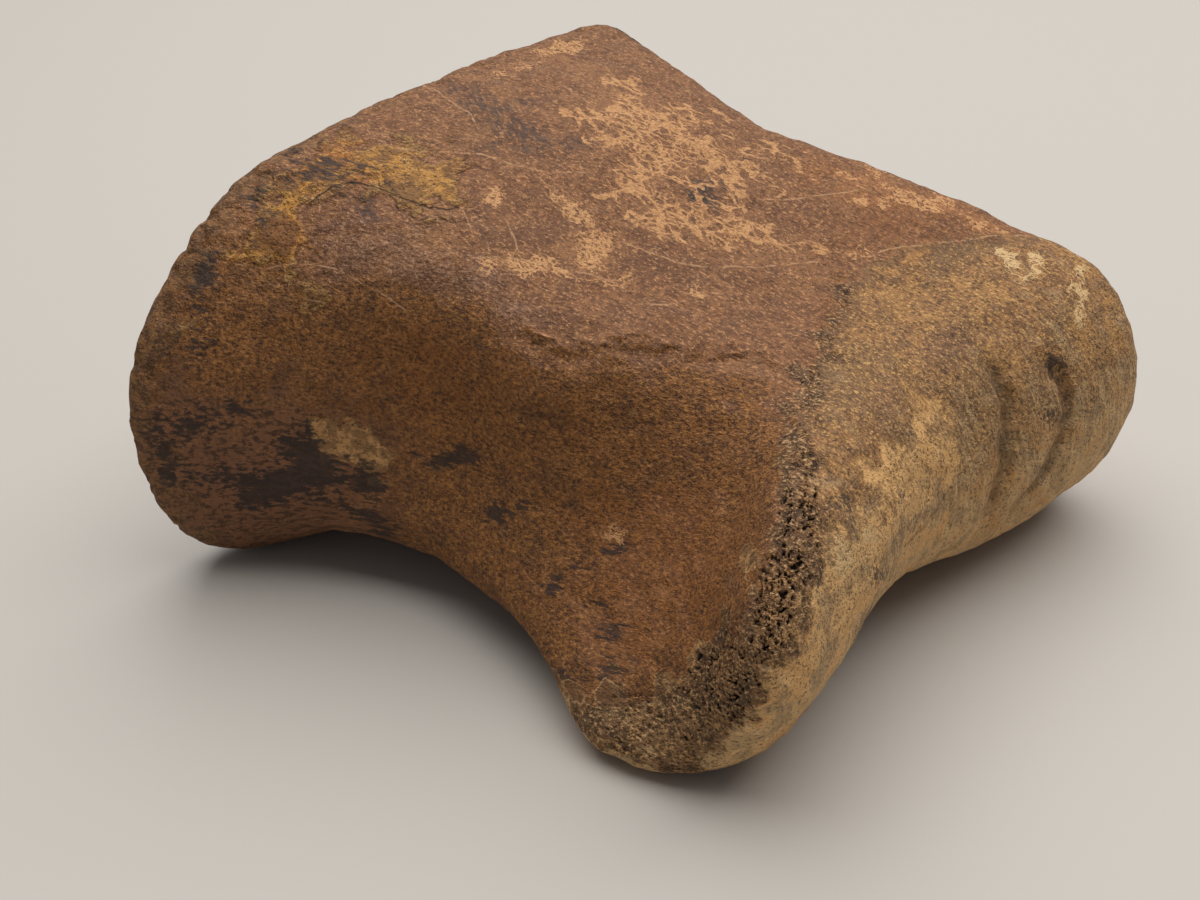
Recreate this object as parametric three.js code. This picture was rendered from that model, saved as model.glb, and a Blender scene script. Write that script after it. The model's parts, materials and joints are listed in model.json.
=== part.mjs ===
// A fossil hadrosaur toe bone: the first phalanx of a hind foot, lying on its sole side.
// Millimetres. +X points to the toe tip, +Y to the bone's far side, +Z up from the ground.
import * as THREE from "three";
import { mergeVertices } from "three/addons/utils/BufferGeometryUtils.js";

const { clamp, lerp, mapLinear, smoothstep } = THREE.MathUtils;

// Driving dimensions
const PROXIMAL_X = -62; // the rim of the joint face toward the ankle
const CONDYLE_RADIUS = 27; // the pulley of the joint toward the toe tip
const CONDYLE_AXIS_X = 36;
const CONDYLE_AXIS_Z = 27;
const FLARE_BEHIND = 0.5; // the pulley lets the shaft widen by this slope behind its axis
const TROUGH_START_Y = 18; // the valley between the two condyles, where it starts on top
const TROUGH_SLANT = 17; // how far it strays toward the near side in a quarter turn
const TROUGH_END_TURN = 1.2; // in quarter turns: it runs straight from here on
const TROUGH_HALF_WIDTH = 26;
const TROUGH_DEPTH_ABOVE = 3;
const TROUGH_DEPTH_AHEAD = 7.5;
const DISH_DEPTH = 9; // the hollow of the ankle side joint face
const DISH_HALF_WIDTH = 58;
const DISH_HALF_HEIGHT = 33;
const DISH_CENTRE_Y = 2;
const DISH_CENTRE_Z = 36;
const ARCH_HEIGHT = 9; // the sole lifts this much between its four contacts
const ARCH_RISE_X = [PROXIMAL_X + 4, -32];
const ARCH_FALL_X = [8, 42];
const SOLE_GROOVE_HEIGHT = 11; // and this much more along its middle
const SOLE_GROOVE_MIDDLE_Y = -3;
const SOLE_GROOVE_HALF_WIDTH = 18;
const SOLE_DROP = 6; // the sole face drops clear of the condyles, which the pulley shapes
const SOLE_DROP_X = [22, 48];
const SETTLE_SLOPE = 0.021; // the bone tips forward by this until its condyles are down
const REST_DEPTH = 1.2; // worn off the lowest points, which makes small flats there

// Edge lines and roundings along the bone: [x, value] pairs in millimetres.
// A flank runs from its sole edge up to its shoulder, and is hollow or, below zero, bulging.
const NEAR = {
  side: -1,
  shoulderY: profile([-62, -55], [-40, -46], [-19, -37], [7, -34], [22, -20], [39, -17], [51, -35], [64, -54]),
  shoulderZ: profile([-62, 70.5], [-40, 66.5], [-19, 65.5], [-7, 61], [7, 56.5], [22, 55], [40, 56], [64, 52]),
  soleY: profile([-62, -70], [-40, -54], [-20, -47], [0, -51], [20, -59.5], [44, -57], [64, -50]),
  soleZ: profile([-62, 0], [-30, 3], [0, 4], [24, 4], [64, 6]),
  hollow: profile([-62, -10], [-45, -6], [-20, 1], [5, 5], [28, 2], [46, -2], [64, -6]),
};
const FAR = {
  side: 1,
  shoulderY: profile([-62, 63], [-34, 59.5], [-12, 54], [10, 59], [36, 69.5], [64, 70]),
  shoulderZ: profile([-62, 76], [-34, 69], [-12, 65.5], [12, 63.5], [38, 60], [64, 56]),
  soleY: profile([-62, 62], [-40, 55], [-10, 50], [20, 58], [44, 65], [64, 62]),
  soleZ: profile([-62, 3], [-30, 3], [0, 4], [30, 2], [64, 2]),
  hollow: profile([-62, -6], [-45, -2], [-20, 2], [10, 5], [36, 2], [64, -2]),
};
const dorsalCrown = profile([-62, 1.5], [-40, 5], [-10, 2], [20, -1], [40, 0], [64, 0]);
const shoulderRounding = profile([-62, 26], [-30, 18], [0, 12], [22, 9], [64, 10]);
const soleRounding = profile([-62, 24], [-30, 14], [20, 14], [42, 10]);
const RIM_ROUNDING = 7;
const FAR_ROUNDING = 14;
const CONDYLE_ROUNDING = 12;

// How finely the skin is divided, and how it is drawn onto the bone's faces
const CELLS_ALONG = 32;
const CELLS_ACROSS = 32;
const CELLS_UP = 20;
const SNAP_STEPS = 12;
const RELAX_ROUNDS = 14;
const RELAX_SHARE = 0.6;
const RELAX_SNAP_STEPS = 3;
const SLOPE_STEP = 0.2;

// A smooth line through [x, value] pairs, level beyond both ends.
function profile(...pairs) {
  const places = pairs.map((pair) => pair[0]);
  const values = pairs.map((pair) => pair[1]);
  const line = new THREE.CubicInterpolant(places, values, 1, [0]);
  return (x) => line.evaluate(clamp(x, places[0], places.at(-1)))[0];
}

// 0 at both ends of 0 to 1, 1 in its middle, and 0 outside.
function hump(t) {
  return t > 0 && t < 1 ? 0.5 - 0.5 * Math.cos(2 * Math.PI * t) : 0;
}

// 1 at no distance, falling smoothly to nothing.
function bell(distance, halfWidth) {
  return Math.exp(-((distance / halfWidth) ** 2));
}

// The larger of two depths, rounded over a width where they are alike.
function blend(a, b, width) {
  const overlap = Math.max(width - Math.abs(a - b), 0) / width;
  return Math.max(a, b) + (overlap * overlap * width) / 4;
}

// Each of the bone's six faces gives how far a point lies outside it, below zero inside.
function flank(x, y, z, edges) {
  const rise = edges.shoulderZ(x) - edges.soleZ(x);
  const lean = edges.shoulderY(x) - edges.soleY(x);
  const height = Math.hypot(rise, lean);
  const fromSoleY = y - edges.soleY(x);
  const fromSoleZ = z - edges.soleZ(x);
  const up = (fromSoleY * lean + fromSoleZ * rise) / (height * height);
  const out = (edges.side * (fromSoleY * rise - fromSoleZ * lean)) / height;
  return out + edges.hollow(x) * hump(up);
}

function dorsal(x, y, z) {
  const across = mapLinear(y, NEAR.shoulderY(x), FAR.shoulderY(x), 0, 1);
  const level = lerp(NEAR.shoulderZ(x), FAR.shoulderZ(x), across);
  return z - level - dorsalCrown(x) * hump(across);
}

function sole(x, y, z) {
  const arch = smoothstep(x, ...ARCH_RISE_X) * (1 - smoothstep(x, ...ARCH_FALL_X));
  const groove = bell(y - SOLE_GROOVE_MIDDLE_Y, SOLE_GROOVE_HALF_WIDTH);
  const drop = smoothstep(x, ...SOLE_DROP_X);
  return ARCH_HEIGHT * arch + SOLE_GROOVE_HEIGHT * groove - SOLE_DROP * drop - REST_DEPTH - z;
}

function jointAhead(x, y, z) {
  const ahead = Math.max(x - CONDYLE_AXIS_X, 0);
  const behind = Math.max(CONDYLE_AXIS_X - x, 0);
  const height = z - CONDYLE_AXIS_Z;
  const turn = Math.atan2(ahead, height) / (Math.PI / 2); // 0 on top, 1 in front, 2 below
  const depth = lerp(TROUGH_DEPTH_ABOVE, TROUGH_DEPTH_AHEAD, Math.min(turn, 1));
  const middle = TROUGH_START_Y - TROUGH_SLANT * Math.min(turn, TROUGH_END_TURN);
  const radius = CONDYLE_RADIUS - depth * bell(y - middle, TROUGH_HALF_WIDTH);
  return Math.hypot(ahead, height) - radius - FLARE_BEHIND * behind;
}

function jointBehind(x, y, z) {
  const fromMiddle = Math.hypot((y - DISH_CENTRE_Y) / DISH_HALF_WIDTH, (z - DISH_CENTRE_Z) / DISH_HALF_HEIGHT);
  const dish = DISH_DEPTH * hump(0.5 + 0.5 * Math.min(fromMiddle, 1));
  return PROXIMAL_X + dish - x;
}

// How far a point lies outside the whole bone.
function outside(x, y, z) {
  let depth = blend(dorsal(x, y, z), flank(x, y, z, NEAR), shoulderRounding(x));
  depth = blend(depth, flank(x, y, z, FAR), FAR_ROUNDING);
  depth = blend(depth, sole(x, y, z), soleRounding(x));
  depth = blend(depth, jointAhead(x, y, z), CONDYLE_ROUNDING);
  return blend(depth, jointBehind(x, y, z), RIM_ROUNDING);
}

// A point on a flank, from its sole edge at 0 to its shoulder at 1.
function onFlank(x, up, edges) {
  const rise = edges.shoulderZ(x) - edges.soleZ(x);
  const lean = edges.shoulderY(x) - edges.soleY(x);
  const bulge = (-edges.hollow(x) * hump(up)) / Math.hypot(rise, lean);
  const y = edges.soleY(x) + lean * up + edges.side * rise * bulge;
  const z = edges.soleZ(x) + rise * up - edges.side * lean * bulge;
  return new THREE.Vector3(x, y, z);
}

// A point of the cube from -1 to 1, laid out between the two flanks. Its front is bent round the pulley.
function layOut(point) {
  let x = mapLinear(point.x, -1, 1, PROXIMAL_X, CONDYLE_AXIS_X + CONDYLE_RADIUS);
  let up = (point.z + 1) / 2;
  if (x > CONDYLE_AXIS_X) {
    const ahead = (x - CONDYLE_AXIS_X) / CONDYLE_RADIUS;
    x = CONDYLE_AXIS_X + CONDYLE_RADIUS * ahead * Math.sqrt(1 - point.z ** 2 / 2);
    up = (point.z * Math.sqrt(1 - ahead ** 2 / 2) + 1) / 2;
  }
  const across = (point.y + 1) / 2;
  const placed = onFlank(x, up, NEAR).lerp(onFlank(x, up, FAR), across);
  placed.z += dorsalCrown(x) * hump(across) * up;
  return placed;
}

// Moves a point down the slope of the depth until it lies on the bone's face.
function snap(point, steps) {
  for (let step = 0; step < steps; step += 1) {
    const { x, y, z } = point;
    const depth = outside(x, y, z);
    const slope = new THREE.Vector3(
      outside(x + SLOPE_STEP, y, z) - depth,
      outside(x, y + SLOPE_STEP, z) - depth,
      outside(x, y, z + SLOPE_STEP) - depth,
    ).divideScalar(SLOPE_STEP);
    point.addScaledVector(slope, -depth / slope.lengthSq());
  }
  return point;
}

// The points that each point shares a triangle side with.
function neighboursOf(count, index) {
  const neighbours = Array.from({ length: count }, () => new Set());
  for (let corner = 0; corner < index.count; corner += 1) {
    const next = corner % 3 === 2 ? corner - 2 : corner + 1;
    const here = index.getX(corner);
    const there = index.getX(next);
    neighbours[here].add(there);
    neighbours[there].add(here);
  }
  return neighbours;
}

// Evens out the cells: each point moves toward the middle of its neighbours, then back onto the face.
function relax(points, neighbours) {
  const middles = points.map((point, number) => {
    const middle = new THREE.Vector3();
    neighbours[number].forEach((neighbour) => middle.add(points[neighbour]));
    return middle.divideScalar(neighbours[number].size);
  });
  points.forEach((point, number) => snap(point.lerp(middles[number], RELAX_SHARE), RELAX_SNAP_STEPS));
}

// A divided cube drawn onto the bone's faces, tipped onto the ground, with its origin at its foot.
function boneGeometry() {
  const box = new THREE.BoxGeometry(2, 2, 2, CELLS_ALONG, CELLS_ACROSS, CELLS_UP);
  box.deleteAttribute("normal");
  box.deleteAttribute("uv");
  const skin = mergeVertices(box);
  const places = skin.getAttribute("position");
  const points = [];
  for (let number = 0; number < places.count; number += 1) {
    const corner = new THREE.Vector3().fromBufferAttribute(places, number);
    points.push(snap(layOut(corner), SNAP_STEPS));
  }
  const neighbours = neighboursOf(places.count, skin.getIndex());
  for (let round = 0; round < RELAX_ROUNDS; round += 1) {
    relax(points, neighbours);
  }
  points.forEach((point, number) => {
    const settled = point.z - SETTLE_SLOPE * (point.x - PROXIMAL_X);
    places.setXYZ(number, point.x, point.y, Math.max(settled, 0));
  });
  skin.computeVertexNormals();
  skin.computeBoundingBox();
  const middle = skin.boundingBox.getCenter(new THREE.Vector3());
  return skin.translate(-middle.x, -middle.y, 0);
}

const fossilBone = new THREE.MeshStandardMaterial({ color: 0x6e4a30, roughness: 0.7, metalness: 0 });
const toeBone = new THREE.Mesh(boneGeometry(), fossilBone);
toeBone.name = "toe_bone";

const model = new THREE.Group();
model.add(toeBone);

export default model;
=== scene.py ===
# %% [markdown]
# # A fossil toe bone
#
# The object is one bone of a duck-billed dinosaur's foot, turned to stone. It lies on its sole
# side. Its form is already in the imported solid, so this lesson adds what a solid can't hold:
# worn edges, open spongy bone, creases, crusts, veins and mineral colours.
#
# All lengths below are millimetres, turned into Blender's metres with MM.

import json
import math

import bpy
import numpy as np
from mathutils import Matrix, Vector, noise
from mathutils.bvhtree import BVHTree

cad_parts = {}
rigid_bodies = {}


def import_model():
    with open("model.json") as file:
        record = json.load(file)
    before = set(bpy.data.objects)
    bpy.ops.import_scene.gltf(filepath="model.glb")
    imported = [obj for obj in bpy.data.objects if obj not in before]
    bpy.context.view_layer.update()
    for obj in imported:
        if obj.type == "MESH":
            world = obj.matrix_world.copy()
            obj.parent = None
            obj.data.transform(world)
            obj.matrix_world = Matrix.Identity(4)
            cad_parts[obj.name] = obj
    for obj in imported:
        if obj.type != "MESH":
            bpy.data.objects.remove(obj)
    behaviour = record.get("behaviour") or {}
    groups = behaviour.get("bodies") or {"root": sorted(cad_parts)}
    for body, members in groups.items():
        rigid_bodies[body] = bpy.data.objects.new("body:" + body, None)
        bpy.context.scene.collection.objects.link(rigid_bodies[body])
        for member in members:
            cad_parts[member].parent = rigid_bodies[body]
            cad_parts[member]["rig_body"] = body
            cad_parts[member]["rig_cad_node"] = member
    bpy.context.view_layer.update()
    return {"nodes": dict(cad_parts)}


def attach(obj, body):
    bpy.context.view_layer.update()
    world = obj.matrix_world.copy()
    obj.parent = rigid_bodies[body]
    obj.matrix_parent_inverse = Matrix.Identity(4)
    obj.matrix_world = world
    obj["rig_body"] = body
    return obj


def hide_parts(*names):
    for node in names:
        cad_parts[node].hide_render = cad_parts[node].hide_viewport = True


MM = 0.001
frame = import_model()
solid = frame["nodes"]["toe_bone"]

# %% [markdown]
# ## The camera
#
# The photograph looks down on the bone from close by, so that its near end looks large. A camera
# is fully told by where its eye is, how it is turned and how strongly its lens enlarges. These
# few numbers were found by laying the solid's outline over the photograph's.

# %% The camera
PHOTO_WIDTH = 1200
PHOTO_HEIGHT = 900
EYE = Vector((161.4, -200.8, 170.5)) * MM
HEADING = math.radians(41.04)
PITCH = math.radians(30.49)
ROLL = math.radians(-1.08)
FOCAL_PIXELS = 1671.3
SENSOR_WIDTH = 36

camera_turn = (
    Matrix.Rotation(HEADING, 3, "Z")
    @ Matrix.Rotation(math.pi / 2 - PITCH, 3, "X")
    @ Matrix.Rotation(ROLL, 3, "Z")
)
bpy.ops.object.select_all(action="DESELECT")
bpy.ops.object.camera_add(location=EYE, rotation=camera_turn.to_euler())
camera = bpy.context.object
camera.data.sensor_width = SENSOR_WIDTH
camera.data.lens = FOCAL_PIXELS / PHOTO_WIDTH * SENSOR_WIDTH
camera.data.clip_start = 10 * MM
bpy.context.scene.camera = camera
print(f"lens {camera.data.lens:.1f} mm, eye {EYE.length / MM:.0f} mm from the bone's foot")

# %% [markdown]
# ## A finer skin
#
# The solid has flat faces some 4 mm across. A copy of it becomes the visible bone: its loose
# triangles are merged, joined in pairs to four-sided faces, and rounded by a Subdivision Surface.
# Four-sided faces are worth the trouble: subdividing them gives even, smooth cells.

# %% The finer skin
SMOOTH_LEVELS = 2
MERGE_WITHIN = 0.01 * MM


def edit(thing):
    """Selects one object alone and opens it in edit mode."""
    bpy.ops.object.select_all(action="DESELECT")
    thing.select_set(True)
    bpy.context.view_layer.objects.active = thing
    bpy.ops.object.mode_set(mode="EDIT")


def apply_modifier(thing, kind, **settings):
    """Adds a modifier with these settings and applies it."""
    bpy.context.view_layer.objects.active = thing
    bpy.ops.object.modifier_add(type=kind)
    modifier = thing.modifiers[-1]
    for name, value in settings.items():
        setattr(modifier, name, value)
    bpy.ops.object.modifier_apply(modifier=modifier.name)


bone = solid.copy()
bone.data = solid.data.copy()
bone.name = "fossil_toe_bone"
bone.parent = None
bpy.context.scene.collection.objects.link(bone)
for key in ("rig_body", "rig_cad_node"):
    if key in bone:
        del bone[key]

edit(bone)
bpy.ops.mesh.select_all(action="SELECT")
bpy.ops.mesh.remove_doubles(threshold=MERGE_WITHIN)
bpy.ops.mesh.tris_convert_to_quads(face_threshold=math.pi, shape_threshold=math.pi)
bpy.ops.object.mode_set(mode="OBJECT")
sides = [len(face.vertices) for face in bone.data.polygons]
print("merged:", sides.count(4), "four-sided and", sides.count(3), "three-sided faces")
apply_modifier(bone, "SUBSURF", levels=SMOOTH_LEVELS, render_levels=SMOOTH_LEVELS)
print("skin:", len(bone.data.polygons), "faces")

# %% [markdown]
# ## Places on the bone
#
# Worn edges and colours lie along lines on the bone, so each point of the skin needs to know how
# far it is from them. Two kinds of line are used. The rims of the two joint faces run all round
# the bone, and are told in millimetres. A marking that the photograph shows is told by the pixels
# it passes through, and each point of the skin is looked up in the photograph by the same
# perspective that the camera uses. Either way, a point gets one number: millimetres inside.

# %% Where each point of the skin is
FACING_FADE = (0.02, 0.2)


def smooth(value, low, high):
    """Rises softly from 0 at low to 1 at high."""
    t = np.clip((value - low) / (high - low), 0, 1)
    return t * t * (3 - 2 * t)


def bell(distance, half_width):
    """1 at no distance, falling softly to nothing."""
    return np.exp(-((distance / half_width) ** 2))


def read_points(mesh):
    """The mesh's points and their outward directions, the points in millimetres."""
    places = np.empty(len(mesh.vertices) * 3)
    mesh.vertices.foreach_get("co", places)
    outward = np.empty(len(mesh.vertices) * 3)
    mesh.vertex_normals.foreach_get("vector", outward)
    return places.reshape(-1, 3) / MM, outward.reshape(-1, 3)


class Skin:
    """What the markings need to know of each point of a mesh."""

    def __init__(self, mesh):
        self.spots, self.outward = read_points(mesh)
        eye = np.array(EYE) / MM
        seen = (self.spots - eye) @ np.array(camera_turn)
        depth = -seen[:, 2]
        self.pixel_size = depth / FOCAL_PIXELS
        self.pixels = np.column_stack(
            (
                PHOTO_WIDTH / 2 + seen[:, 0] / self.pixel_size,
                PHOTO_HEIGHT / 2 - seen[:, 1] / self.pixel_size,
            )
        )
        toward_eye = eye - self.spots
        toward_eye /= np.linalg.norm(toward_eye, axis=1)[:, None]
        facing = np.sum(toward_eye * self.outward, axis=1)
        self.in_view = smooth(facing, *FACING_FADE)


skin = Skin(bone.data)
print(f"in view: {(skin.in_view > 0.5).mean():.0%} of the skin's points")
print(f"a pixel shows {skin.pixel_size.min():.2f} to {skin.pixel_size.max():.2f} mm of the bone")

# %% From the photograph to the bone
# A ray from the eye through a pixel meets the bone where the photograph shows that pixel.
shape = BVHTree.FromObject(bone, bpy.context.evaluated_depsgraph_get())


def on_bone(pixel):
    """The point of the bone, in millimetres, that the photograph shows at a pixel."""
    across, down = pixel
    ray = Vector((across - PHOTO_WIDTH / 2, PHOTO_HEIGHT / 2 - down, -FOCAL_PIXELS))
    place, _, _, _ = shape.ray_cast(EYE, (camera_turn @ ray).normalized())
    if place is None:
        raise ValueError(f"the photograph's pixel {pixel} misses the bone")
    return place / MM


print("the tip of the near condyle is at", on_bone((690, 765)))

# %% The rims of the two joint faces
# A rim is a closed row of points: where it shows, as pixels, and behind the bone, in millimetres.
TOE_JOINT_MIDDLE = (20, 0, 27)
TOE_RIM_IN_PHOTO = [
    (562, 692), (620, 700), (660, 690), (700, 665), (725, 640), (745, 600), (765, 560), (775, 520),
    (780, 470), (785, 430), (800, 390), (815, 350), (835, 305), (855, 270), (880, 250), (940, 238),
    (1000, 233),
]
TOE_RIM_BEHIND = [
    (41, 63, 42), (40, 66, 28), (30, 60, 10), (14, 44, 3), (8, 22, 8), (10, 0, 14), (8, -24, 10),
    (12, -44, 4),
]
ANKLE_JOINT_MIDDLE = (-30, 0, 36)
ANKLE_RIM_IN_PHOTO = [
    (205, 538), (170, 470), (155, 440), (160, 400), (180, 330), (215, 255), (270, 180), (300, 155),
    (340, 125), (400, 100), (500, 60), (560, 45), (608, 42),
]
ANKLE_RIM_BEHIND = [
    (-52, 62, 55), (-54, 66, 35), (-55, 60, 12), (-55, 38, 3), (-53, 10, 8), (-53, -15, 9),
    (-55, -40, 3),
]


def polar(points, middle, ahead):
    """Angle from the way ahead, angle about it, and distance, of points seen from the middle."""
    away = np.asarray(points, float) - middle
    distance = np.linalg.norm(away, axis=1)
    return np.arccos(ahead * away[:, 0] / distance), np.arctan2(away[:, 2], away[:, 1]), distance


def inside_rim(spots, seen, unseen, middle, ahead):
    """Millimetres inside a rim, on the side of its joint face."""
    rim = [tuple(on_bone(pixel)) for pixel in seen] + unseen
    opening, around, _ = polar(rim, middle, ahead)
    order = np.argsort(around)
    limit, about, distance = polar(spots, middle, ahead)
    allowed = np.interp(about, around[order], opening[order], period=2 * math.pi)
    return (allowed - limit) * distance


def toe_joint(spots):
    return inside_rim(spots, TOE_RIM_IN_PHOTO, TOE_RIM_BEHIND, TOE_JOINT_MIDDLE, 1)


def ankle_joint(spots):
    return inside_rim(spots, ANKLE_RIM_IN_PHOTO, ANKLE_RIM_BEHIND, ANKLE_JOINT_MIDDLE, -1)


print(f"toe-side joint: {(toe_joint(skin.spots) > 0).mean():.0%} of the skin's points")
print(f"ankle-side joint: {(ankle_joint(skin.spots) > 0).mean():.0%} of the skin's points")

# %% [markdown]
# ## Lines and patches in the photograph
#
# Cracks, creases and broken edges are lines, and stains and crusts are patches. A line is a row of
# pixels, and each point of the skin asks for its nearest place on it. A patch is a closed outline
# or an oval, and each point asks how far inside it lies. Pixels turn into millimetres by the size
# of a pixel at that point's distance from the eye.

# %% Lines
LINE_REACH = (2.4, 4.0)  # a line's mark ends softly between these, in millimetres
FAR_ACROSS = 9.0
LINE_TAPER = 0.3  # a line's ends fade over this share of a step


def nearest_on_path(pixels, path):
    """For each pixel: its distance to the path, left or right of it, and how far along it."""
    path = np.asarray(path, float)
    start, step = path[:-1], np.diff(path, axis=0)
    away = pixels[:, None, :] - start
    along = np.clip((away * step).sum(2) / (step**2).sum(1), 0, 1)
    offset = away - along[:, :, None] * step
    distance = np.hypot(offset[:, :, 0], offset[:, :, 1])
    nearest = distance.argmin(1)
    row = np.arange(len(pixels))
    turn = step[nearest, 0] * away[row, nearest, 1] - step[nearest, 1] * away[row, nearest, 0]
    return distance[row, nearest], np.where(turn < 0, -1, 1), nearest + along[row, nearest]


def line(skin, path, taper):
    """Millimetres across a line, and a weight that is 1 beside it and 0 past its ends."""
    distance, side, along = nearest_on_path(skin.pixels, path)
    across = distance * side * skin.pixel_size
    last = len(path) - 1
    ends = smooth(along, 0, taper) * (1 - smooth(along, last - taper, last))
    beside = 1 - smooth(np.abs(across), *LINE_REACH)
    return across, beside * ends * skin.in_view


def lines(skin, paths, taper=LINE_TAPER):
    """Several lines as one: each point takes the line that weighs most there."""
    across, weight = np.full(len(skin.spots), FAR_ACROSS), np.zeros(len(skin.spots))
    for path in paths:
        here_across, here_weight = line(skin, path, taper)
        stronger = here_weight > weight
        across = np.where(stronger, here_across, across)
        weight = np.where(stronger, here_weight, weight)
    return across, weight


# %% Patches
FAR_OUTSIDE = -20  # for a point that no patch comes near, in millimetres
SHRINK_OUT_OF_VIEW = 4  # patches draw back where the bone turns out of view


def patch(skin, outline):
    """Millimetres inside a closed outline, less than nothing outside it."""
    closed = [*outline, outline[0]]
    distance, _, _ = nearest_on_path(skin.pixels, closed)
    across, down = skin.pixels.T
    inside = np.zeros(len(across), bool)
    for (x0, y0), (x1, y1) in zip(closed, closed[1:], strict=False):
        if y0 != y1:
            crosses = (down < y0) != (down < y1)
            inside ^= crosses & (across < x0 + (down - y0) * (x1 - x0) / (y1 - y0))
    return np.where(inside, distance, -distance) * skin.pixel_size


def blot(skin, centre, half_width, half_height):
    """Millimetres inside an oval, less than nothing outside it."""
    away = (skin.pixels - centre) / (half_width, half_height)
    share = 1 - np.hypot(away[:, 0], away[:, 1])
    return share * min(half_width, half_height) * skin.pixel_size


def patches(skin, outlines, blots=()):
    """Several outlines and ovals as one, hidden where the photograph doesn't reach."""
    depths = [patch(skin, outline) for outline in outlines]
    depths += [blot(skin, (x, y), wide, high) for x, y, wide, high in blots]
    depth = np.max(depths, axis=0).clip(FAR_OUTSIDE, -FAR_OUTSIDE)
    shown = np.where(skin.in_view > 0, depth, FAR_OUTSIDE)
    return shown - SHRINK_OUT_OF_VIEW * (1 - skin.in_view)

# %% [markdown]
# ## Where the skin needs smaller cells
#
# The worn edge of the near condyle shows the spongy bone inside, whose holes are about a
# millimetre wide. Cells that fine all over would be far too many, so only the band that shows
# holes, and the lines where the form turns sharply, are subdivided again. The band is told as a
# path in the photograph with a half width at each of its points.

# %% The lines where the form turns sharply
CREASES = [
    [(966, 330), (985, 352), (1002, 376), (1013, 402), (1013, 435), (1009, 475), (1000, 508),
     (984, 536), (960, 556)],
    [(1030, 346), (1048, 358), (1064, 376), (1073, 396), (1074, 418), (1068, 442), (1054, 472),
     (1034, 500), (1006, 528), (985, 545)],
]
SHOULDER_CREST = [
    (505, 310), (535, 333), (565, 346), (610, 336), (650, 338), (690, 343), (735, 346),
    (775, 356), (800, 374),
]
FLAKE_EDGE = [
    (308, 204), (318, 193), (332, 185), (352, 182), (374, 184), (392, 190), (408, 198), (430, 206),
    (450, 207), (463, 204),
]
print(len(CREASES), "creases, a shoulder crest and a flaked edge")

# %% The band of spongy bone
SPONGE_PATH = [
    (852, 288), (815, 360), (800, 430), (800, 500), (797, 555), (768, 615), (735, 672), (684, 728),
    (604, 728),
]
SPONGE_HALF_WIDTH = [1.0, 1.6, 1.8, 3.0, 3.8, 4.3, 5.0, 6.6, 5.6]  # millimetres, at each point
COARSE_FROM = (1.6, 3.4)  # points along the path, where the holes grow large
COARSE_TO = (6.0, 7.4)  # and where they grow small again


def sponge_band(skin):
    """Millimetres inside the band of open spongy bone."""
    distance, _, along = nearest_on_path(skin.pixels, SPONGE_PATH)
    half_width = np.interp(along, range(len(SPONGE_HALF_WIDTH)), SPONGE_HALF_WIDTH)
    depth = half_width - distance * skin.pixel_size
    return np.where(skin.in_view > 0, depth, FAR_OUTSIDE)


def coarse_sponge(skin):
    """1 where the holes of the spongy bone are large, 0 where they are small."""
    _, _, along = nearest_on_path(skin.pixels, SPONGE_PATH)
    return smooth(along, *COARSE_FROM) * (1 - smooth(along, *COARSE_TO))


print(f"{(sponge_band(skin) > 0).mean():.1%} of the skin's points lie in the band")

# %% Smaller cells there
BAND_EDGE = -0.3
COARSE_BAND_EDGE = 0.9
CLOSE_TO_LINE = 0.97


def subdivide_where(thing, chosen):
    """Subdivides the faces whose points are all chosen."""
    mesh = thing.data
    wanted = [bool(chosen[list(face.vertices)].all()) for face in mesh.polygons]
    bpy.context.tool_settings.mesh_select_mode = (False, False, True)
    mesh.vertices.foreach_set("select", [False] * len(mesh.vertices))
    mesh.edges.foreach_set("select", [False] * len(mesh.edges))
    mesh.polygons.foreach_set("select", wanted)
    edit(thing)
    bpy.ops.mesh.subdivide(number_cuts=1)
    bpy.ops.object.mode_set(mode="OBJECT")
    print(f"subdivided {sum(wanted)} faces, now {len(mesh.polygons)}")


_, near_line = lines(skin, [SHOULDER_CREST, FLAKE_EDGE, *CREASES])
subdivide_where(bone, (sponge_band(skin) > BAND_EDGE) | (near_line > CLOSE_TO_LINE))
skin = Skin(bone.data)
subdivide_where(bone, (sponge_band(skin) > COARSE_BAND_EDGE) & (coarse_sponge(skin) > 0.5))
skin = Skin(bone.data)

# %% [markdown]
# ## Relief
#
# A Displace modifier with no texture moves each point along its outward direction by strength
# times the point's weight in a vertex group. So one helper is enough for everything that is worn,
# pressed or broken into the bone: it takes a weight for each point and a depth. All depths, sizes
# and widths below are millimetres.

# %% Helpers for relief
LEAST_WEIGHT = 0.001


def press(thing, weights, depth):
    """Moves the skin inwards by depth, in millimetres, where the weight is 1."""
    weights = np.clip(weights, 0, 1)
    group = thing.vertex_groups.new(name="pressed")
    for index in np.flatnonzero(weights > LEAST_WEIGHT):
        group.add([int(index)], float(weights[index]), "REPLACE")
    settings = {"vertex_group": "pressed", "strength": -depth * MM, "mid_level": 0}
    apply_modifier(thing, "DISPLACE", **settings)
    thing.vertex_groups.clear()
    print(f"pressed {np.count_nonzero(weights > LEAST_WEIGHT)} points by up to {depth} mm")


def rough(spots, size, octaves=3):
    """A cloudy random value about 0 for each point, with forms of this size."""
    return np.array([noise.fractal(Vector(spot) / size, 1, 2, octaves) for spot in spots])


def cloudy(size, octaves=3, spread=0.7, shift=0):
    """The same about one half. A shift takes the noise from elsewhere, so that two differ."""
    return 0.5 + spread * rough(skin.spots + shift, size, octaves)


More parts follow.
